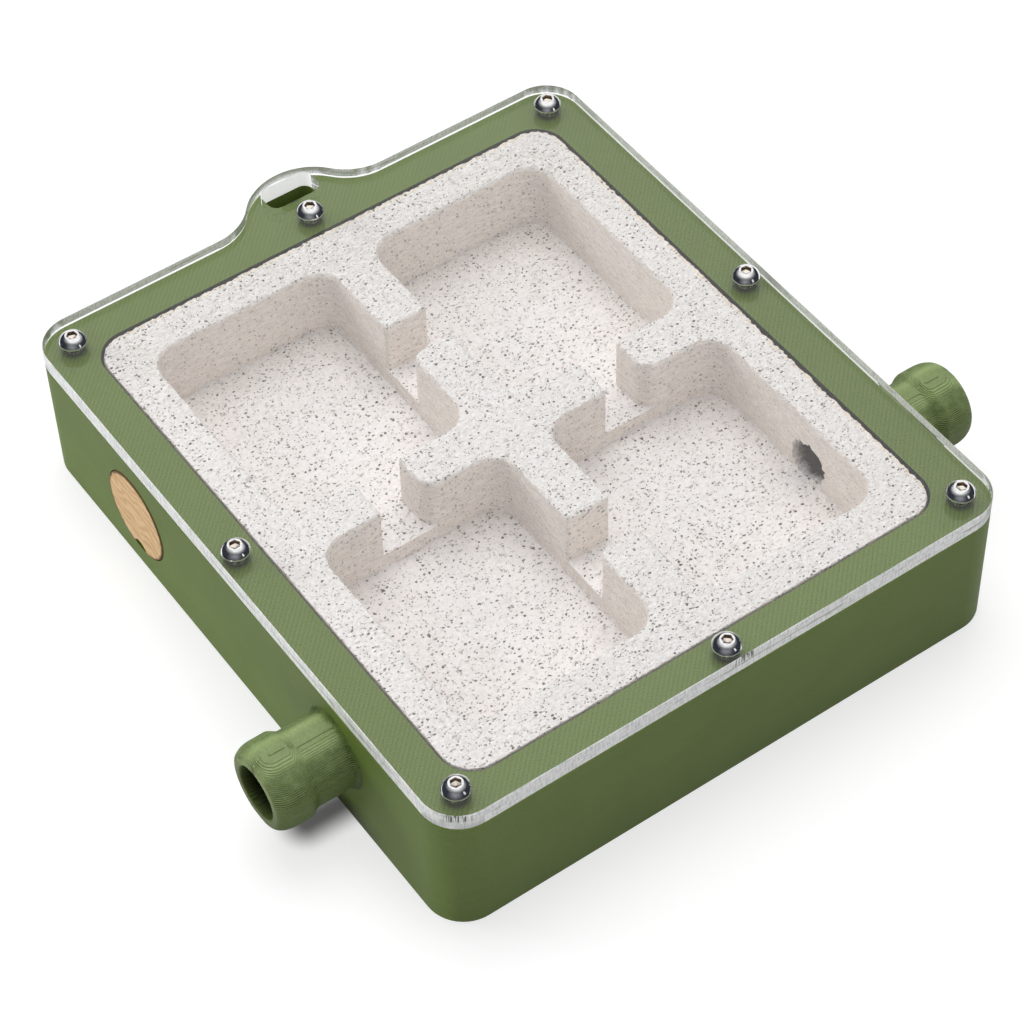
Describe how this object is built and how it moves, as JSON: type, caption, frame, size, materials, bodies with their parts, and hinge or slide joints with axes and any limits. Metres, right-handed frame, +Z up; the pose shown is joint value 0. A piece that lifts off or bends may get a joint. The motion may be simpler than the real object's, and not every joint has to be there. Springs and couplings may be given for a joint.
{
  "type": "ant habitat",
  "caption": "Shallow printed ant nest case with a four-room mineral block, side tube spigots, a water slot in a tab and a clear screwed lid.",
  "frame": {"origin": "on the underside, under the middle of the case's rectangle without its tab", "axes": "+X from the badge side to the other tube side, +Y from the plain front to the tab with the water slot, +Z up"},
  "size_m": [0.1626, 0.1554, 0.0349],
  "materials": {
    "printed_green": "matte",
    "printed_green_spigot": "matte",
    "mineral_block": "matte",
    "clear_acrylic": "gloss",
    "pale_wood": "matte",
    "polished_steel": "polished"
  },
  "bodies": {
    "tray": {"case": "printed_green", "nest_block": "mineral_block", "badge": "pale_wood", "left_tube_spigot": "printed_green_spigot", "right_tube_spigot": "printed_green_spigot"},
    "lid": {"lid": "clear_acrylic"},
    "front_left_screw": {"screw_front_left": "polished_steel"},
    "front_middle_screw": {"screw_front_middle": "polished_steel"},
    "front_right_screw": {"screw_front_right": "polished_steel"},
    "right_middle_screw": {"screw_right_middle": "polished_steel"},
    "rear_right_screw": {"screw_rear_right": "polished_steel"},
    "rear_middle_screw": {"screw_rear_middle": "polished_steel"},
    "rear_left_screw": {"screw_rear_left": "polished_steel"},
    "left_middle_screw": {"screw_left_middle": "polished_steel"}
  },
  "joints": [
    {"name": "lid_lift", "type": "slide", "parent": "tray", "child": "lid", "axis": [0, 0, 1], "range_m": [0, 0.05]},
    {"name": "front_left_unscrew", "type": "slide", "parent": "lid", "child": "front_left_screw", "axis": [0, 0, 1], "range_m": [0, 0.013]},
    {"name": "front_middle_unscrew", "type": "slide", "parent": "lid", "child": "front_middle_screw", "axis": [0, 0, 1], "range_m": [0, 0.013]},
    {"name": "front_right_unscrew", "type": "slide", "parent": "lid", "child": "front_right_screw", "axis": [0, 0, 1], "range_m": [0, 0.013]},
    {"name": "right_middle_unscrew", "type": "slide", "parent": "lid", "child": "right_middle_screw", "axis": [0, 0, 1], "range_m": [0, 0.013]},
    {"name": "rear_right_unscrew", "type": "slide", "parent": "lid", "child": "rear_right_screw", "axis": [0, 0, 1], "range_m": [0, 0.013]},
    {"name": "rear_middle_unscrew", "type": "slide", "parent": "lid", "child": "rear_middle_screw", "axis": [0, 0, 1], "range_m": [0, 0.013]},
    {"name": "rear_left_unscrew", "type": "slide", "parent": "lid", "child": "rear_left_screw", "axis": [0, 0, 1], "range_m": [0, 0.013]},
    {"name": "left_middle_unscrew", "type": "slide", "parent": "lid", "child": "left_middle_screw", "axis": [0, 0, 1], "range_m": [0, 0.013]}
  ]
}
